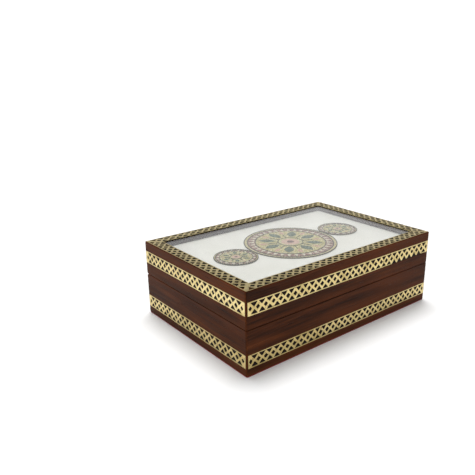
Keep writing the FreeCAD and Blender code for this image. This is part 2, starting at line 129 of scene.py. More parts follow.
def rosewood(name, along, offset, lightness=1.0):
    """Waxed sheesham: dark red-brown with long darker streaks, warm patches and fine open pores."""
    graph = Graph(name)

    def stretched(length, width):
        long_way, cross_way = 1 / length, 1 / width
        return (long_way, cross_way, cross_way) if along == "X" else (cross_way, long_way, cross_way)

    streaks = graph.noise(graph.place(stretched(0.11, 0.0065), offset), 1, 5, 0.55, 0.6)
    fibres = graph.noise(graph.place(stretched(0.035, 0.0014), offset), 1, 4, 0.65)
    patches = graph.noise(graph.place(stretched(0.16, 0.022), offset), 1, 2, 0.5, 0.2)
    pores = graph.noise(graph.place(stretched(0.011, 0.00042), offset), 1, 2, 0.5)
    tone = graph.math("MULTIPLY_ADD", streaks, 0.55)
    graph.put(tone.node.inputs[2], graph.math("MULTIPLY", fibres, 0.45))
    figure = graph.ramp(tone, [(0.38, (0.020, 0.0062, 0.0024)), (0.46, (0.036, 0.0102, 0.0031)),
                               (0.53, (0.058, 0.0156, 0.0042)), (0.62, (0.098, 0.0270, 0.0064))])
    warm = graph.mix(graph.span(patches, 0.45, 0.80), figure, (0.098, 0.0250, 0.0056))
    cool = graph.mix(graph.span(patches, 0.44, 0.26, 0.0, 0.35), warm, (0.024, 0.0080, 0.0030))
    pore_depth = graph.span(pores, 0.36, 0.30)
    pored = graph.mix(graph.math("MULTIPLY", pore_depth, 0.75), cool, (0.008, 0.004, 0.003))
    colour = graph.add("HueSaturation", {"Value": lightness, "Color": pored}).outputs["Color"]
    graph.look(Base_Color=colour, Roughness=graph.span(fibres, 0.3, 0.7, 0.36, 0.54),
               Specular_IOR_Level=0.05)
    height = graph.math("SUBTRACT", graph.math("MULTIPLY", fibres, 0.5), pore_depth)
    graph.bump(height, 0.00011, 0.8)
    return graph.material


def fret_brass():
    """Hand-cut sheet brass: bright where rubbed, duller and browner in patches, finely scratched; each
    segment is browner by its own tarnish, with painted shade on the front wall strips and painted light on
    the top strips.
    """
    graph = Graph("fret_brass")
    tarnish_and_painted_shade = graph.add("Attribute", attribute_name="tarnish_and_painted_shade").outputs["Fac"]
    patches = graph.noise(graph.place((90, 90, 90)), 1, 3, 0.55, 0.5)
    scratches = graph.noise(graph.place((900, 900, 2600)), 1, 3, 0.6)
    spots = graph.noise(graph.place((420, 420, 420)), 1, 2, 0.5)
    bright = graph.mix(graph.span(scratches, 0.3, 0.7), (0.74, 0.59, 0.245), (0.86, 0.73, 0.39))
    dulled = graph.mix(graph.span(patches, 0.52, 0.72, 0.0, 0.7), bright, (0.40, 0.29, 0.085))
    # segment browning: random tarnish plus painted shade (front wall strips darker) and painted light (top
    # strips lighter)
    tarnished_with_painted_shade = graph.mix(graph.math("MULTIPLY", tarnish_and_painted_shade, 0.75), dulled, (0.46, 0.34, 0.12))
    grimy = graph.mix(graph.span(spots, 0.60, 0.72, 0.0, 0.75), tarnished_with_painted_shade, (0.20, 0.12, 0.05))
    graph.look(Base_Color=grimy, Metallic=1.0,
               Roughness=graph.span(scratches, 0.3, 0.75, 0.27, 0.45))
    graph.bump(scratches, 0.00006, 0.55)
    return graph.material


def opening_shade():
    """Near-black bed under the brass that fills its openings: painted shade for the openings."""
    graph = Graph("painted_shade_bed")
    grain = graph.noise(graph.place((700, 700, 700)), 1, 4, 0.6)
    # near-black colour, darker than the wood: painted shade in the fret openings
    colour = graph.mix(grain, (0.004, 0.0018, 0.0012), (0.014, 0.0055, 0.0026))
    graph.look(Base_Color=colour, Roughness=graph.span(grain, 0.3, 0.7, 0.45, 0.75), Specular_IOR_Level=0.1)
    graph.bump(grain, 0.00012, 0.7)
    return graph.material


def hinge_brass(name):
    """Plated hinge brass with a drawn finish along the barrel."""
    graph = Graph(name)
    drawn = graph.noise(graph.place((150, 6000, 6000)), 1, 3, 0.6)
    tarnish = graph.noise(graph.place((260, 260, 260)), 1, 4, 0.6)
    metal = graph.mix(graph.span(tarnish, 0.45, 0.7), (0.80, 0.60, 0.27), (0.48, 0.31, 0.12))
    graph.look(Base_Color=metal, Metallic=1.0, Roughness=graph.span(drawn, 0.3, 0.7, 0.24, 0.42))
    graph.bump(drawn, 0.00003, 0.5)
    return graph.material


def clear_glass():
    """Clear flat pane, its faces very slightly uneven."""
    graph = Graph("clear_glass")
    waves = graph.noise(graph.place((14, 14, 14)), 1, 1, 0.4)
    graph.look(Base_Color=(0.985, 1.0, 0.992, 1), Roughness=0.02, IOR=1.42, Transmission_Weight=1.0)
    graph.bump(waves, 0.00002, 0.25)
    return graph.material


def marble_plate():
    """White plate behind the picture, with faint warm clouds."""
    graph = Graph("marble_plate")
    clouds = graph.noise(graph.place((45, 45, 45)), 1, 5, 0.6, 0.8)
    colour = graph.ramp(clouds, [(0.30, (0.80, 0.785, 0.715)), (0.60, (0.865, 0.85, 0.79))])
    fine = graph.noise(graph.place((2500, 2500, 2500)), 1, 2, 0.5)
    graph.look(Base_Color=colour, Roughness=graph.span(clouds, 0.3, 0.7, 0.30, 0.42))
    graph.bump(fine, 0.00002, 0.3)
    return graph.material


def crushed_stone(name, dark, light, sparkle=(0.82, 0.78, 0.56), grain_mm=0.8):
    """Crushed gemstone glued down as a coloured ground: grains of two tones and a few pale ones."""
    graph = Graph(name)
    scale = 1 / (grain_mm * MM)
    where = graph.place((scale, scale, scale))
    cells = graph.add("TexVoronoi", {"Vector": where, "Scale": 1.0})
    channels = graph.add("SeparateColor", {"Color": cells.outputs["Color"]})
    tone = graph.mix(channels.outputs["Red"], dark, light)
    clouds = graph.noise(graph.place((170, 170, 170)), 1, 3, 0.6)
    clouded = graph.mix(graph.span(clouds, 0.40, 0.68, 0.0, 0.55), tone, dark)
    pale = graph.span(channels.outputs["Green"], 0.78, 0.84, 0.0, 0.85)
    colour = graph.mix(pale, clouded, sparkle)
    graph.look(Base_Color=colour, Roughness=graph.span(channels.outputs["Blue"], 0, 1, 0.25, 0.7),
               Specular_IOR_Level=0.6)
    graph.bump(graph.math("SUBTRACT", 1.0, cells.outputs["Distance"]), 0.00028, 0.7)
    return graph.material


def painted_line(name, dark, light):
    """Raised line of paint or gold, darker and lighter along its length."""
    graph = Graph(name)
    along = graph.noise(graph.place((330, 330, 330)), 1, 3, 0.6)
    fine = graph.noise(graph.place((2200, 2200, 2200)), 1, 2, 0.5)
    colour = graph.mix(graph.span(along, 0.35, 0.65), dark, light)
    graph.look(Base_Color=colour, Roughness=graph.span(fine, 0.3, 0.7, 0.35, 0.6))
    graph.bump(fine, 0.00008, 0.5)
    return graph.material


def velvet():
    """Deep red velvet: short pile, broad brushed areas and a pale sheen."""
    graph = Graph("red_velvet")
    pile = graph.noise(graph.place((3600, 3600, 3600)), 1, 2, 0.7)
    brushed = graph.noise(graph.place((38, 38, 38)), 1, 4, 0.6, 0.8)
    nap = graph.mix(graph.span(brushed, 0.38, 0.62), (0.15, 0.004, 0.010), (0.29, 0.012, 0.020))
    colour = graph.mix(graph.span(pile, 0.35, 0.7, 0.0, 0.55), nap, (0.42, 0.035, 0.045))
    graph.look(Base_Color=colour, Roughness=graph.span(pile, 0.3, 0.7, 0.80, 0.95),
               Sheen_Weight=0.9, Sheen_Roughness=0.35, Sheen_Tint=(1.0, 0.55, 0.55, 1),
               Specular_IOR_Level=0.2)
    graph.bump(pile, 0.00030, 0.9)
    return graph.material


def red_felt():
    """Pressed red felt with matted fibres."""
    graph = Graph("red_felt")
    fibres = graph.noise(graph.place((1300, 1300, 1300)), 1, 6, 0.75, 1.6)
    clouds = graph.noise(graph.place((60, 60, 60)), 1, 3, 0.5)
    matted = graph.mix(graph.span(fibres, 0.35, 0.65), (0.16, 0.008, 0.010), (0.36, 0.025, 0.024))
    colour = graph.mix(graph.span(clouds, 0.4, 0.7, 0.0, 0.4), matted, (0.22, 0.012, 0.014))
    graph.look(Base_Color=colour, Roughness=graph.span(fibres, 0.3, 0.7, 0.85, 0.97),
               Sheen_Weight=0.35, Sheen_Roughness=0.5, Specular_IOR_Level=0.15)
    graph.bump(fibres, 0.00035, 0.9)
    return graph.material


def plywood():
    """Pale plywood for the boards that the felt, the cushion and the lining cover."""
    graph = Graph("plywood")
    grain = graph.noise(graph.place((12, 260, 260)), 1, 5, 0.6, 0.5)
    plies = graph.add("TexWave", {"Vector": graph.place((1, 1, 1)), "Scale": 190.0, "Distortion": 0.6},
                      bands_direction="Z")
    face = graph.ramp(grain, [(0.3, (0.30, 0.18, 0.09)), (0.7, (0.52, 0.36, 0.21))])
    colour = graph.mix(graph.math("MULTIPLY", plies.outputs["Fac"], 0.35), face, (0.20, 0.11, 0.05))
    graph.look(Base_Color=colour, Roughness=graph.span(grain, 0.3, 0.7, 0.6, 0.8))
    graph.bump(grain, 0.0001, 0.5)
    return graph.material


def dress(obj, material):
    """Give a CAD node or a piece one material in every slot."""
    if not obj.material_slots:
        obj.data.materials.append(material)
    for entry in obj.material_slots:
        entry.material = material


BRASS = fret_brass()
OPENING_SHADE = opening_shade()
VELVET = velvet()
FELT = red_felt()
BOARD_WOOD = plywood()


def dress_frame():
    """Materials of the CAD nodes that are shown as they are."""
    for number, side in enumerate(SIDES):
        along = "X" if side in ("front", "back") else "Y"
        for tier, part in enumerate(("base_{}_wall", "lid_{}_wall", "lid_{}_rail", "glass_spacer_{}")):
            node = part.format(side)
            offset = (0.37 * number + 0.11 * tier, 0.53 * number, 0.19 * tier + 0.07 * number)
            # the glass spacers take the wood at 0.6 of its lightness: painted shade of the recess under the
            # glass and brass lip
            lightness = 0.6 if part.startswith("glass") else 1.0
            dress(NODES[node], rosewood(f"wood_{node}", along, offset, lightness))
    for node in ("base_floor", "lid_backing"):
        dress(NODES[node], BOARD_WOOD)
    metal = hinge_brass("hinge_brass")
    screw_metal = hinge_brass("screw_brass")
    for hand in ("left", "right"):
        for part in ("base_leaf", "lid_leaf", "pin"):
            dress(NODES[f"{hand}_hinge_{part}"], metal)
    for node in ("base_hinge_screws", "lid_hinge_screws"):
        dress(NODES[node], screw_metal)
    dress(NODES["picture_plate"], marble_plate())
    dress(NODES["glass_pane"], clear_glass())
    NODES["glass_pane"].visible_shadow = False


# ---------------------------------------------------------------- meshes

def new_piece(name, vertices, faces, material, smooth=False):
    mesh = bpy.data.meshes.new(name)
    mesh.from_pydata([tuple(v) for v in vertices], [], faces)
    mesh.validate()
    mesh.polygons.foreach_set("use_smooth", [smooth] * len(mesh.polygons))
    mesh.materials.append(material)
    obj = bpy.data.objects.new(name, mesh)
    bpy.context.scene.collection.objects.link(obj)
    return obj


def join(name, objects):
    """One object from several."""
    for obj in bpy.context.selected_objects:
        obj.select_set(False)
    for obj in objects:
        obj.select_set(True)
    bpy.context.view_layer.objects.active = objects[0]
    bpy.ops.object.join()
    objects[0].name = objects[0].data.name = name
    return objects[0]


def as_mesh(curve_object):
    """The curve object's surface as a mesh object in its place."""
    bpy.context.view_layer.update()
    shaped = curve_object.evaluated_get(bpy.context.evaluated_depsgraph_get())
    mesh = bpy.data.meshes.new_from_object(shaped)
    obj = bpy.data.objects.new(curve_object.name, mesh)
    obj.matrix_world = curve_object.matrix_world
    bpy.context.scene.collection.objects.link(obj)
    bpy.data.objects.remove(curve_object)
    return obj


def signed_area(outline):
    return sum(a.x * b.y - b.x * a.y for a, b in zip(outline, outline[1:] + outline[:1])) / 2


def drawn_in(outline, distance):
    """Outline moved to its left by a distance, corner by corner."""
    moved = []
    for index, here in enumerate(outline):
        before = (here - outline[index - 1]).normalized()
        after = (outline[(index + 1) % len(outline)] - here).normalized()
        across = before + after
        if across.length < 0.2:
            across = after
        across = Vector((-across.y, across.x)).normalized()
        reach = max(0.6, across.dot(Vector((-after.y, after.x))))
        moved.append(here + across * distance / reach)
    return moved


def contains(outline, point):
    inside = False
    for a, b in zip(outline, outline[1:] + outline[:1]):
        if (a.y > point.y) != (b.y > point.y):
            if point.x < a.x + (point.y - a.y) * (b.x - a.x) / (b.y - a.y):
                inside = not inside
    return inside


def sheet_metal(name, outlines, thickness, bevel, material):
    """Flat sheet with softened top edges. outlines are closed rows of (u, v); a row inside another
    is an opening, and separate rows are separate tiles."""
    rows = [[Vector(point) for point in outline] for outline in outlines]
    for number, row in enumerate(rows):
        depth = sum(contains(other, row[0]) for other in rows if other is not row)
        if (signed_area(row) > 0) == bool(depth % 2):
            rows[number] = row[::-1]
    tops = [drawn_in(row, bevel) for row in rows]
    flat = [point for row in tops for point in row]
    edges, first = [], 0
    for row in tops:
        edges += [(first + index, first + (index + 1) % len(row)) for index in range(len(row))]
        first += len(row)
    points, _, triangles, *_ = delaunay_2d_cdt(flat, edges, [], 0, 1e-9)
    if len(points) != len(flat):
        raise RuntimeError(f"{name}: two outlines cross")
    kept = []
    for face in triangles:
        middle = sum((points[index] for index in face), Vector((0, 0))) / len(face)
        if sum(contains(row, middle) for row in tops) % 2:
            kept.append(tuple(face))
    count = len(flat)
    rims = [point for row in rows for point in row]
    half = thickness / 2
    vertices = [(p.x, p.y, half) for p in flat]
    vertices += [(p.x, p.y, half - bevel) for p in rims]
    vertices += [(p.x, p.y, -half) for p in rims]
    faces = kept + [tuple(index + 2 * count for index in reversed(face)) for face in kept]
    for a, b in edges:
        faces.append((a, a + count, b + count, b))
        faces.append((a + count, a + 2 * count, b + 2 * count, b + count))
    return new_piece(name, vertices, faces, material)


# ---------------------------------------------------------------- pierced brass

STRIP_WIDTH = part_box("base_strip_front")[1].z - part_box("base_strip_front")[0].z
PITCH = 6.75 * MM
BORDER = 0.75 * MM
SHEET_THICKNESS = 0.26 * MM
SHEET_BEVEL = 0.07 * MM
DIAMOND = (2.15 * MM, 2.08 * MM)
TRIANGLE_HALF = 3.08 * MM
TRIANGLE_TIP = 0.95 * MM
END_MARGIN = 3.56 * MM
RIM = STRIP_WIDTH / 2 - BORDER


def rounded(corners, cut, wobble, rng):
    """Outline with its corners cut round and every point moved a little, as a saw leaves it."""
    points = []
    count = len(corners)
    for index, corner in enumerate(corners):
        here = Vector(corner)
        before = Vector(corners[index - 1])
        after = Vector(corners[(index + 1) % count])
        start = here + (before - here).normalized() * cut
        end = here + (after - here).normalized() * cut
        middle = (start + end) / 4 + here / 2
        for point in (start, middle, end):
            points.append(point + Vector((rng.gauss(0, wobble), rng.gauss(0, wobble))))
    return points


def diamond(u, rng, room=1.0):
    wide = DIAMOND[0] * rng.uniform(0.90, 1.06) * room
    high = DIAMOND[1] * rng.uniform(0.88, 1.10)
    u += max(-0.2 * MM, min(0.2 * MM, rng.gauss(0, 0.10 * MM))) * room
    v = rng.gauss(0, 0.10 * MM)
    corners = [(u - wide, v), (u, v - high), (u + wide, v), (u, v + high)]
    return rounded(corners, 0.5 * MM, 0.05 * MM, rng)


def triangle(u, way, rng, room=1.0):
    """Opening above (way 1) or below (way -1) the crossing at u."""
    wide = TRIANGLE_HALF * rng.uniform(0.93, 1.0) * room
    tip = TRIANGLE_TIP * rng.uniform(0.85, 1.15)
    u += max(-0.08 * MM, min(0.08 * MM, rng.gauss(0, 0.06 * MM)))
    rim = RIM * rng.uniform(0.98, 1.01)
    flank = 0.12 * MM
    corners = [(u + wide, way * rim), (u + wide * 0.52, way * (tip + (rim - tip) * 0.42) + way * flank),
               (u, way * tip), (u - wide * 0.52, way * (tip + (rim - tip) * 0.42) + way * flank),
               (u - wide, way * rim)]
    return rounded(corners, 0.28 * MM, 0.045 * MM, rng)


def wavy_edge(start, end, rng):
    """Points along a straight cut edge, both ends left out, that stray from it a little."""
    steps = max(1, round((end - start).length / (9 * MM)))
    return [start.lerp(end, step / steps) + Vector((0, rng.gauss(0, 0.035 * MM)))
            for step in range(1, steps)]


def strip_segment(name, low, high, ends, cells, worn, rng):
    """Stretch of a strip. ends gives each end's kind: plain, joint or the slant of a mitre.

    cells lists the middles of its crosses; worn those whose lower border is lost.
    """
    half = STRIP_WIDTH / 2
    slant_low = ends[0] * half if ends[0] is not None else 0
    slant_high = ends[1] * half if ends[1] is not None else 0
    bottom_left = Vector((low + slant_low, -half))
    bottom_right = Vector((high - slant_high, -half))
    top_right = Vector((high + slant_high, half))
    top_left = Vector((low - slant_low, half))
    outline = [bottom_left]
    cursor = bottom_left
    for middle in worn:
        foot = 2.85 * MM
        rise = 0.30 * MM
        start = Vector((middle - foot, -half + rise * rng.uniform(0.4, 1.3)))
        outline += wavy_edge(cursor, start, rng) + [start]
        outline.append(Vector((middle, -TRIANGLE_TIP * rng.uniform(0.9, 1.2))))
        cursor = Vector((middle + foot, -half + rise * rng.uniform(0.4, 1.3)))
        outline.append(cursor)
    outline += wavy_edge(cursor, bottom_right, rng) + [bottom_right]
    if ends[1] is None:
        outline += [Vector((high, -DIAMOND[1])), Vector((high - DIAMOND[0], 0)),
                    Vector((high, DIAMOND[1]))]
    outline += [top_right] + wavy_edge(top_right, top_left, rng) + [top_left]
    if ends[0] is None:
        outline += [Vector((low, DIAMOND[1])), Vector((low + DIAMOND[0], 0)),
                    Vector((low, -DIAMOND[1]))]
    outlines = [outline]
    for number, middle in enumerate(cells):
        by_joint = (number == 0 and ends[0] is None) or (number == len(cells) - 1 and ends[1] is None)
        room = 0.9 if by_joint else 1.0
        outlines.append(triangle(middle, 1, rng, room))
        if middle not in worn:
            outlines.append(triangle(middle, -1, rng, room))
        if number or ends[0] is not None:
            outlines.append(diamond(middle - PITCH / 2, rng, 1.0 if number or ends[0] else 0.82))
    if ends[1] is not None:
        outlines.append(diamond(cells[-1] + PITCH / 2, rng, 1.0 if ends[1] else 0.82))
    if ends[0]:
        outlines.append(triangle(cells[0] - PITCH, -1, rng))
    if ends[1]:
        outlines.append(triangle(cells[-1] + PITCH, -1, rng))
    return sheet_metal(name, outlines, SHEET_THICKNESS, SHEET_BEVEL, BRASS)


def strip_frame(side, node, is_top):
    """Matrix from strip coordinates (along, across, outward) to the frame, at the strip's outer face."""
    turn = Matrix.Rotation(math.radians(SIDES[side]), 4, "Z")
    low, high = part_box(node)
    middle = turn.inverted() @ ((low + high) / 2)
    sunk = SHEET_THICKNESS / 2
    if is_top:
        return turn @ Matrix.Translation((middle.x, middle.y, high.z - sunk))
    face = min((turn.inverted() @ low).y, (turn.inverted() @ high).y)
    stand = Matrix.Rotation(math.radians(90), 4, "X")
    return turn @ Matrix.Translation((middle.x, face + sunk, middle.z)) @ stand


def painted_shade_bed(name, half_length, slant, rng):
    """Uneven near-black bed below the brass sheet, painted shade for its openings, in strip coordinates."""
    columns, rows = max(40, int(half_length / (0.9 * MM))), 7
    top_z = 0.04 * MM - SHEET_THICKNESS / 2
    bottom_z = SHEET_THICKNESS / 2 - 0.69 * MM
    half_width = STRIP_WIDTH / 2
    vertices = []
    for layer in (top_z, bottom_z):
        for row in range(rows + 1):
            v = -half_width + STRIP_WIDTH * row / rows
            reach = half_length - slant * v
            for column in range(columns + 1):
                u = -reach + 2 * reach * column / columns
                lift = rng.uniform(-0.03, 0.05) * MM if layer == top_z else 0
                vertices.append((u, v, layer + lift))
    size = (rows + 1) * (columns + 1)

    def at(row, column, layer):
        return layer * size + row * (columns + 1) + column
    faces = []
    for row in range(rows):
        for column in range(columns):
            quad = [at(row, column, 0), at(row, column + 1, 0), at(row + 1, column + 1, 0),
                    at(row + 1, column, 0)]
            faces.append(quad)
            faces.append([index + size for index in reversed(quad)])
    for column in range(columns):
        faces.append([at(0, column, 1), at(0, column + 1, 1), at(0, column + 1, 0), at(0, column, 0)])
        faces.append([at(rows, column, 0), at(rows, column + 1, 0), at(rows, column + 1, 1),
                      at(rows, column, 1)])
    for row in range(rows):
        faces.append([at(row, 0, 0), at(row + 1, 0, 0), at(row + 1, 0, 1), at(row, 0, 1)])
        faces.append([at(row, columns, 1), at(row + 1, columns, 1), at(row + 1, columns, 0),
                      at(row, columns, 0)])
    return new_piece(name, vertices, faces, OPENING_SHADE, smooth=True)


def make_strip(tier, side, body, seed):
    """One pierced strip: butt-jointed segments of sheet brass on a near-black bed that paints the shade in
    its openings.
    """
    rng = random.Random(seed)
    is_top = tier == "top"
    node = f"{tier}_strip_{side}"
    low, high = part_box(node)
    half_length = max(high.x - low.x, high.y - low.y) / 2
    slant = 0
    if is_top:
        half_length -= STRIP_WIDTH / 2
        slant = -1
    count = int((2 * half_length - END_MARGIN) / PITCH)
    first = -count * PITCH / 2
    middles = [first + PITCH * (number + 0.5) for number in range(count)]
    worn_from, worn_to = (22, 28) if node == "lid_strip_front" else (0, 0)
    cuts = [0]
    while count - cuts[-1] > 13:
        cuts.append(cuts[-1] + rng.randint(7, 12))
    cuts.append(count)
    segments = []
    place = strip_frame(side, node, is_top)
    for number, (start, end) in enumerate(zip(cuts, cuts[1:])):
        gap = rng.uniform(0.05, 0.11) * MM
        seg_low = -half_length if start == 0 else first + start * PITCH + gap
        seg_high = half_length if end == count else first + end * PITCH - gap
        kinds = (slant if start == 0 else None, slant if end == count else None)
        worn = [middles[index] for index in range(max(start, worn_from), min(end, worn_to))]
        segment = strip_segment(f"{node}_{number}", seg_low, seg_high, kinds, middles[start:end],
                                worn, rng)
        tarnish_and_painted_shade = segment.data.attributes.new("tarnish_and_painted_shade", "FLOAT", "POINT")
        # tarnish drawn at random per segment; the top strips get 0.3 of it, painted light that makes them
        # brighter, and the front wall strips 0.25 more, painted shade
        tone = rng.choice((0.0, 0.05, 0.15, 0.3, 0.55)) * (0.3 if is_top else 1.0)
        if side == "front" and not is_top:
            tone += 0.25
        tarnish_and_painted_shade.data.foreach_set("value", [tone] * len(segment.data.vertices))
        tilt = Matrix.Rotation(rng.gauss(0, 0.0006), 4, "Z")
        slip = Matrix.Translation((0, rng.gauss(0, 0.04) * MM, rng.uniform(-0.04, 0.0) * MM))
        segment.matrix_world = place @ slip @ tilt
        segments.append(segment)
    brass = join(f"fret_{tier}_{side}", segments)
    apply_place(brass)
    bed = painted_shade_bed(f"lac_{tier}_{side}", half_length, slant, rng)
    bed.matrix_world = place
    apply_place(bed)
    for piece in (brass, bed):
        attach(piece, body)
    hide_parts(node)


def apply_place(obj):
    """Move an object's place into its mesh."""
    obj.data.transform(obj.matrix_world)
    obj.matrix_world = Matrix.Identity(4)


def make_strips():
    for number, side in enumerate(SIDES):
        make_strip("base", side, "base", 11 + number)
        make_strip("lid", side, "lid", 31 + number)
        make_strip("top", side, "lid", 51 + number)


# ---------------------------------------------------------------- picture under the glass

# three rosettes in a row, drawn by formula: a large one between two small ones that touch it
PLATE_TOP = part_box("picture_relief")[0].z
GROUND = 0.55 * MM
INLAY = 0.85 * MM
LINE = 0.20 * MM
CENTRE_RADIUS = 39.6 * MM
SIDE_OFFSET = 58 * MM
SIDE_RADIUS = 17.6 * MM
BEAD_RADIUS = 0.6 * MM
BEAD_PITCH = 2.2 * MM
TRIANGLE_PITCH = 5.6 * MM

# a rosette's discs, outermost first: name, share of its radius, and height as a share of GROUND
DISCS = (("rim", 1.0, 0.9), ("band", 0.93, 1.05), ("ground", 0.76, 1.2), ("core", 0.27, 1.35),
         ("hub", 0.20, 1.5), ("spot", 0.08, 1.65))
# shares of a rosette's radius: where each starts and ends, and half a petal's width
PETALS = (0.30, 0.72, 0.11)
LEAVES = (0.50, 0.73, 0.055)
STEMS = (0.28, 0.51)
TRIANGLES = (0.785, 0.905)
DROPS = (0.60, 0.73)
RIM_BEADS = 0.965
HUB_BEADS = 0.235


def polar(centre, radius, angle):
    """Point at a distance and an angle in degrees from a rosette's centre, which is on the x axis."""
    turn = math.radians(angle)
    return centre + radius * math.cos(turn), radius * math.sin(turn)


def around(count, offset=0.0):
    """Evenly spaced angles in degrees, moved on by a share of their spacing."""
    return [360 * (number + offset) / count for number in range(count)]


def along_ring(centre, radius, pitch):
    """Points about a pitch apart on a ring."""
    return [polar(centre, radius, angle) for angle in around(round(2 * math.pi * radius / pitch))]


def circle(centre, radius, steps=72):
    return [polar(centre, radius, angle) for angle in around(steps)]


def petal(centre, angle, near, far, half_width, steps=12):
    """Pointed leaf that stands outwards from the rosette's centre."""
    turn = Matrix.Rotation(math.radians(angle), 2)
    side = [(near + (far - near) * step / steps, half_width * math.sin(math.pi * step / steps))
            for step in range(steps + 1)]
    row = [Vector((out, -wide)) for out, wide in side] + [Vector((out, wide)) for out, wide in side[-2:0:-1]]
    return [(centre + point.x, point.y) for point in (turn @ corner for corner in row)]


def closed(row):
    return row + row[:1]


def inlay(name, outlines, top, material):
    """Flat-topped tile of crushed stone standing on the plate."""
    tile = sheet_metal(name, outlines, top, min(0.16 * MM, top * 0.3), material)
    tile.matrix_world = Matrix.Translation((0, 0, PLATE_TOP + top / 2))
    return tile


def raised_line(name, rows, radius, height, material):
    """Round lines drawn over the stone; rows are lists of (x, y), closed where a row ends as it starts."""
    curve = bpy.data.curves.new(name, "CURVE")
    curve.dimensions = "3D"
    curve.bevel_depth = radius
    curve.bevel_resolution = 1
    curve.use_fill_caps = True
    for row in rows:
        closed = len(row) > 2 and (Vector(row[0]) - Vector(row[-1])).length < 1e-6
        points = row[:-1] if closed else row
        spline = curve.splines.new("POLY")
        spline.points.add(len(points) - 1)
        for point, (x, y) in zip(spline.points, points):
            point.co = (x, y, PLATE_TOP + height, 1)
        spline.use_cyclic_u = closed
    obj = bpy.data.objects.new(name, curve)
    bpy.context.scene.collection.objects.link(obj)
    obj = as_mesh(obj)
    obj.data.materials.append(material)
    return obj


def beads(name, places, radius, height, material):
    """Small round drops of stone or gold on the picture."""
    vertices, faces = [], []
    sides, rings = 8, ((1.0, 0.0), (0.85, 0.5), (0.45, 0.88))
    for x, y in places:
        base = len(vertices)
        for reach, rise in rings:
            for side in range(sides):
                angle = 2 * math.pi * side / sides
                vertices.append((x + radius * reach * math.cos(angle), y + radius * reach * math.sin(angle),
                                 PLATE_TOP + height + radius * rise))
        vertices.append((x, y, PLATE_TOP + height + radius))
        for ring in range(len(rings) - 1):
            for side in range(sides):
                low = base + ring * sides
                after = (side + 1) % sides
                faces.append((low + side, low + after, low + sides + after, low + sides + side))
        last = base + (len(rings) - 1) * sides
        for side in range(sides):
            faces.append((last + side, last + (side + 1) % sides, len(vertices) - 1))
        faces.append(tuple(base + side for side in reversed(range(sides))))
    return new_piece(name, vertices, faces, material, smooth=True)


def rosette(name, centre, radius, petal_count, stones):
    """Rosette of crushed stone: a beaded rim, a band of triangles, and petals and leaves round a hub."""
    pieces = [inlay(f"{name}_{part}", [circle(centre, radius * share)], GROUND * rise, stones[part])
              for part, share, rise in DISCS]
    petals = [petal(centre, angle, *(radius * share for share in PETALS)) for angle in around(petal_count)]
    leaves = [petal(centre, angle, *(radius * share for share in LEAVES))
              for angle in around(petal_count, 0.5)]
    near, far = (radius * share for share in TRIANGLES)
    count = round(2 * math.pi * near / TRIANGLE_PITCH)
    half = 0.3 * 360 / count
    triangles = [[polar(centre, near, angle - half), polar(centre, near, angle + half),
                  polar(centre, far, angle)] for angle in around(count)]
    pieces.append(inlay(f"{name}_petals", petals, INLAY, stones["petals"]))
    pieces.append(inlay(f"{name}_leaves", leaves, INLAY, stones["leaves"]))
    pieces.append(inlay(f"{name}_triangles", triangles, INLAY, stones["triangles"]))

    edges = [closed(circle(centre, radius * share)) for _, share, _ in DISCS[:4]]
    stems = [[polar(centre, radius * share, angle) for share in STEMS] for angle in around(petal_count, 0.5)]
    outlines = [closed(row) for row in petals + leaves]
    pieces.append(raised_line(f"{name}_edges", edges + stems, LINE * 2, GROUND * 1.1, stones["dark_line"]))
    pieces.append(raised_line(f"{name}_petal_lines", outlines, LINE, INLAY * 0.95, stones["gold_line"]))

    drop_count = int(radius * (DROPS[1] - DROPS[0]) / BEAD_PITCH) + 1
    drops = [polar(centre, radius * DROPS[0] + BEAD_PITCH * number, angle)
             for angle in around(2 * petal_count, 0.5) for number in range(drop_count)]
    drops += along_ring(centre, radius * HUB_BEADS, BEAD_PITCH)
    rim_beads = along_ring(centre, radius * RIM_BEADS, BEAD_PITCH)
    pieces.append(beads(f"{name}_drops", drops, BEAD_RADIUS, GROUND * 1.1, stones["gold_line"]))
    pieces.append(beads(f"{name}_rim_beads", rim_beads, BEAD_RADIUS, GROUND * 0.8, stones["gold_line"]))
    return pieces


def picture_stones():
    return {
        "rim": crushed_stone("stone_cream", (0.46, 0.39, 0.20), (0.77, 0.71, 0.47)),
        "band": crushed_stone("stone_russet", (0.13, 0.050, 0.036), (0.33, 0.155, 0.115),
                              (0.58, 0.42, 0.33)),
        "ground": crushed_stone("stone_gold", (0.24, 0.205, 0.062), (0.72, 0.65, 0.26)),
        "core": crushed_stone("stone_green", (0.20, 0.22, 0.09), (0.70, 0.70, 0.38)),
        "hub": crushed_stone("stone_pink", (0.50, 0.28, 0.22), (0.74, 0.50, 0.39),
                             (0.86, 0.72, 0.58), 0.5),
        "spot": crushed_stone("stone_purple", (0.055, 0.014, 0.018), (0.13, 0.04, 0.045),
                              (0.24, 0.12, 0.12)),
        "petals": crushed_stone("stone_teal", (0.016, 0.046, 0.026), (0.050, 0.105, 0.055),
                                (0.20, 0.28, 0.18)),
        "leaves": crushed_stone("stone_rose", (0.42, 0.20, 0.16), (0.66, 0.40, 0.31),
                                (0.82, 0.66, 0.52), 0.5),
        "triangles": crushed_stone("stone_white", (0.60, 0.57, 0.46), (0.87, 0.84, 0.72)),
        "dark_line": painted_line("line_dark", (0.012, 0.012, 0.008), (0.045, 0.042, 0.024)),
        "gold_line": painted_line("line_gold", (0.56, 0.45, 0.16), (0.88, 0.80, 0.46)),
    }


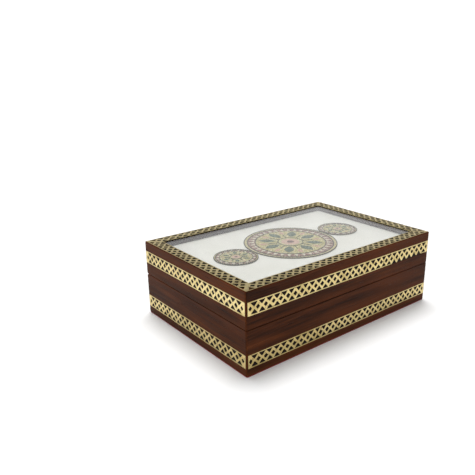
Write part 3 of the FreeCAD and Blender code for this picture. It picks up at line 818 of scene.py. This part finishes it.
def picture_pieces():
    """The three rosettes; the small ones have a greener ground."""
    stones = picture_stones()
    side_ground = crushed_stone("stone_olive", (0.19, 0.19, 0.08), (0.62, 0.60, 0.31))
    side_stones = dict(stones, ground=side_ground)
    pieces = rosette("centre_rosette", 0, CENTRE_RADIUS, 8, stones)
    for name, centre in (("left_rosette", -SIDE_OFFSET), ("right_rosette", SIDE_OFFSET)):
        pieces += rosette(name, centre, SIDE_RADIUS, 6, side_stones)
    return pieces


def make_picture():
    pieces = picture_pieces()
    for piece in pieces:
        apply_place(piece)
        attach(piece, "lid")
    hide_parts("picture_relief")


# ---------------------------------------------------------------- velvet and felt

def cushion(node, body, faces_up, seed):
    """Velvet pad over wadding: crowned face, rolled edges, sides drawn in between its corners."""
    rng = random.Random(seed)
    low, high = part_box(node)
    columns, rows = 72, 48
    middle = (low + high) / 2
    half = (high - low) / 2
    flat = low.z if faces_up else high.z
    way = 1 if faces_up else -1
    thick = high.z - low.z
    waves = [(rng.uniform(20, 60), rng.uniform(20, 60), rng.uniform(0, 6.28)) for _ in range(6)]
    vertices, faces = [], []
    for row in range(rows + 1):
        for column in range(columns + 1):
            u = math.sin(math.pi / 2 * (2 * column / columns - 1))
            v = math.sin(math.pi / 2 * (2 * row / rows - 1))
            draw_in = 0.9 * MM
            x = middle.x + u * (half.x - draw_in * (1 - v ** 4))
            y = middle.y + v * (half.y - draw_in * (1 - u ** 4))
            edge = min((1 - abs(u)) * half.x, (1 - abs(v)) * half.y)
            roll = math.sqrt(max(0.0, 1 - (1 - min(1, edge / (1.6 * thick))) ** 2))
            crown = 1.1 * MM * (1 - u ** 2) * (1 - v ** 2)
            ripple = sum(math.sin(a * x + b * y + c) for a, b, c in waves) * 0.05 * MM
            vertices.append((x, y, flat + way * ((thick * 0.9 + ripple) * roll + crown + 0.1 * MM)))
    top_count = len(vertices)
    for index in range(top_count):
        x, y, _ = vertices[index]
        vertices.append((x, y, flat))

    def at(row, column):
        return row * (columns + 1) + column
    for row in range(rows):
        for column in range(columns):
            quad = (at(row, column), at(row, column + 1), at(row + 1, column + 1), at(row + 1, column))
            faces.append(quad if faces_up else quad[::-1])
            under = tuple(index + top_count for index in quad)
            faces.append(under[::-1] if faces_up else under)
    border = [at(0, c) for c in range(columns)] + [at(r, columns) for r in range(rows)]
    border += [at(rows, c) for c in range(columns, 0, -1)] + [at(r, 0) for r in range(rows, 0, -1)]
    for here, after in zip(border, border[1:] + border[:1]):
        quad = (here, here + top_count, after + top_count, after)
        faces.append(quad if faces_up else quad[::-1])
    pad = new_piece(f"velvet_{node}", vertices, faces, VELVET, smooth=True)
    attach(pad, body)
    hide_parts(node)


def lining(node, side, body, seed):
    """Padded velvet panel along a wall: rolled long edges, slightly full between them, mitred ends."""
    rng = random.Random(seed)
    turn = Matrix.Rotation(math.radians(SIDES[side]), 4, "Z")
    low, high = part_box(node)
    corners = [turn.inverted() @ low, turn.inverted() @ high]
    outer = min(corner.y for corner in corners)
    thick = max(corner.y for corner in corners) - outer
    half = abs(corners[1].x - corners[0].x) / 2
    tall = high.z - low.z
    profile = [(0.0, low.z), (thick * 0.75, low.z)]
    for step in range(13):
        share = step / 12
        full = thick * (0.86 + 0.12 * math.sin(math.pi * share))
        profile.append((full, low.z + 0.4 * MM + (tall - 1.2 * MM) * share))
    for step in range(1, 6):
        angle = math.pi / 2 * step / 5
        profile.append((thick * 0.86 * math.cos(angle), high.z - 0.8 * MM + 0.8 * MM * math.sin(angle)))
    columns = max(24, int(half * 2 / (3 * MM)))
    phase = [rng.uniform(0, 6.28) for _ in range(3)]
    vertices, faces = [], []
    for column in range(columns + 1):
        share = 2 * column / columns - 1
        for depth, z in profile:
            x = share * (half - depth)
            ripple = 0.07 * MM * sum(math.sin((k + 2) * 40 * x + phase[k]) for k in range(3))
            settled = depth + (ripple * min(1, depth / thick) if 0 < depth < thick * 0.98 else 0)
            vertices.append(turn @ Vector((x, outer + min(settled, thick), z)))
    count = len(profile)
    for column in range(columns):
        for index in range(count):
            after = (index + 1) % count
            here = column * count
            faces.append((here + index, here + after, here + count + after, here + count + index))
    faces.append(tuple(range(count))[::-1])
    faces.append(tuple(columns * count + index for index in range(count)))
    panel = new_piece(f"velvet_{node}", vertices, faces, VELVET, smooth=True)
    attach(panel, body)
    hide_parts(node)


def felt():
    """Felt glued under the base: round corners, a soft cut edge and a faintly uneven outline."""
    rng = random.Random(71)
    low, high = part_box("underside_felt")
    radius = 1.6 * MM
    outline = []
    for quarter, (sx, sy) in enumerate(((1, 1), (-1, 1), (-1, -1), (1, -1))):
        centre = Vector((sx * (high.x - radius), sy * (high.y - radius)))
        corner_steps = 6
        for step in range(corner_steps + 1):
            angle = math.pi / 2 * (quarter + step / corner_steps)
            outline.append(centre + radius * Vector((math.cos(angle), math.sin(angle))))
        side = 2 * ((high.y if quarter % 2 else high.x) - radius)
        if quarter % 2 == 0:
            side = 2 * (high.x - radius)
        else:
            side = 2 * (high.y - radius)
        count = int(side / (1.5 * MM))
        start = outline[-1].copy()
        ahead = Vector((-math.sin(math.pi / 2 * (quarter + 1)), math.cos(math.pi / 2 * (quarter + 1))))
        for step in range(1, count):
            outline.append(start + ahead * side * step / count)
    levels = ((0.0, -0.10), (0.16, -0.02), (0.5, 0.0), (0.84, -0.05), (1.0, -0.14))
    vertices, faces = [], []
    for level, inset in levels:
        for point in outline:
            out = point.normalized() * (inset * MM + rng.uniform(-0.05, 0.0) * MM)
            vertices.append((point.x + out.x, point.y + out.y, low.z + (high.z - low.z) * level))
    count = len(outline)
    for level in range(len(levels) - 1):
        for index in range(count):
            after = (index + 1) % count
            here = level * count
            faces.append((here + index, here + after, here + count + after, here + count + index))
    faces.append(tuple(range(count))[::-1])
    faces.append(tuple((len(levels) - 1) * count + index for index in range(count)))
    piece = new_piece("felt_underside", vertices, faces, FELT)
    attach(piece, "base")
    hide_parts("underside_felt")


def make_soft_pieces():
    cushion("base_cushion", "base", True, 81)
    cushion("lid_cushion", "lid", False, 82)
    for number, side in enumerate(SIDES):
        lining(f"base_lining_{side}", side, "base", 91 + number)
        lining(f"lid_lining_{side}", side, "lid", 96 + number)
    felt()


# ---------------------------------------------------------------- stage

SKY = 0.26


def camera():
    """Camera at the photograph's azimuth, elevation, distance and lens."""
    azimuth, elevation, roll = (math.radians(a) for a in (-39.578, 18.792, -0.191))
    distance, across, above = 481.58 * MM, 22.64 * MM, -24.79 * MM
    back = Vector((math.sin(azimuth) * math.cos(elevation), -math.cos(azimuth) * math.cos(elevation),
                   math.sin(elevation)))
    right = (-back).cross(Vector((0, 0, 1))).normalized()
    up = right.cross(-back)
    tilted_right = right * math.cos(roll) + up * math.sin(roll)
    tilted_up = up * math.cos(roll) - right * math.sin(roll)
    middle = Vector((0, 0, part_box("lid_front_rail")[1].z / 2))
    data = bpy.data.cameras.new("camera")
    data.lens = 41.93
    data.sensor_width = 36
    data.shift_x, data.shift_y = -0.0558, 0.0116
    data.clip_start = 0.01
    obj = bpy.data.objects.new("camera", data)
    place = middle - tilted_right * across - tilted_up * above + back * distance
    rows = (tilted_right, tilted_up, back)
    turn = Matrix([[row[axis] for row in rows] for axis in range(3)]).to_4x4()
    obj.matrix_world = Matrix.Translation(place) @ turn
    bpy.context.scene.collection.objects.link(obj)
    bpy.context.scene.camera = obj


def overhead_light(strength):
    """Wide, even light from above and a little behind."""
    data = bpy.data.lights.new("overhead", "SUN")
    data.energy = strength
    data.angle = math.radians(30)
    obj = bpy.data.objects.new("overhead", data)
    obj.rotation_euler = (math.radians(-12), math.radians(8), 0)
    obj.visible_glossy = obj.visible_transmission = False
    bpy.context.scene.collection.objects.link(obj)


def softbox(name, place, target, size, power):
    data = bpy.data.lights.new(name, "AREA")
    data.shape = "RECTANGLE"
    data.size, data.size_y = size
    data.energy = power
    obj = bpy.data.objects.new(name, data)
    aim = (Vector(target) - Vector(place)).to_track_quat("-Z", "Y")
    obj.matrix_world = Matrix.Translation(place) @ aim.to_matrix().to_4x4()
    bpy.context.scene.collection.objects.link(obj)


def light_sky(tree):
    """Soft light from all round, brightest low down, where it stands for a white backdrop."""
    background = tree.nodes["Background"]
    direction = tree.nodes.new("ShaderNodeTexCoord").outputs["Generated"]
    height = tree.nodes.new("ShaderNodeSeparateXYZ")
    tree.links.new(direction, height.inputs[0])
    fade = tree.nodes.new("ShaderNodeMapRange")
    for name, value in (("From Min", 0.15), ("From Max", 0.53), ("To Min", 1.06), ("To Max", SKY)):
        fade.inputs[name].default_value = value
    tree.links.new(height.outputs["Z"], fade.inputs["Value"])
    tree.links.new(fade.outputs["Result"], background.inputs["Strength"])
    background.inputs["Color"].default_value = (1, 1, 1, 1)


def stage():
    """White table and studio light."""
    graph = Graph("table")
    grain = graph.noise(graph.place((30, 30, 30)), 1, 2, 0.5)
    graph.look(Base_Color=graph.mix(grain, (0.95, 0.95, 0.95), (0.97, 0.97, 0.97)), Roughness=0.9,
               Emission_Color=(1, 1, 1, 1), Emission_Strength=0.06)
    size = 8.0
    corners = [(-size, -size, 0), (size, -size, 0), (size, size, 0), (-size, size, 0)]
    table = new_piece("table", corners, [(0, 1, 2, 3)], graph.material)
    world = bpy.data.worlds.new("studio")
    world.use_nodes = True
    light_sky(world.node_tree)
    scene = bpy.context.scene
    scene.world = world
    scene.view_settings.view_transform = "Standard"
    overhead_light(2.62)
    softbox("left_fill", (-0.62, -0.10, 0.40), (-0.16, 0, 0), (0.5, 0.5), 0.45)
    camera()


dress_frame()
make_strips()
make_picture()
make_soft_pieces()
stage()
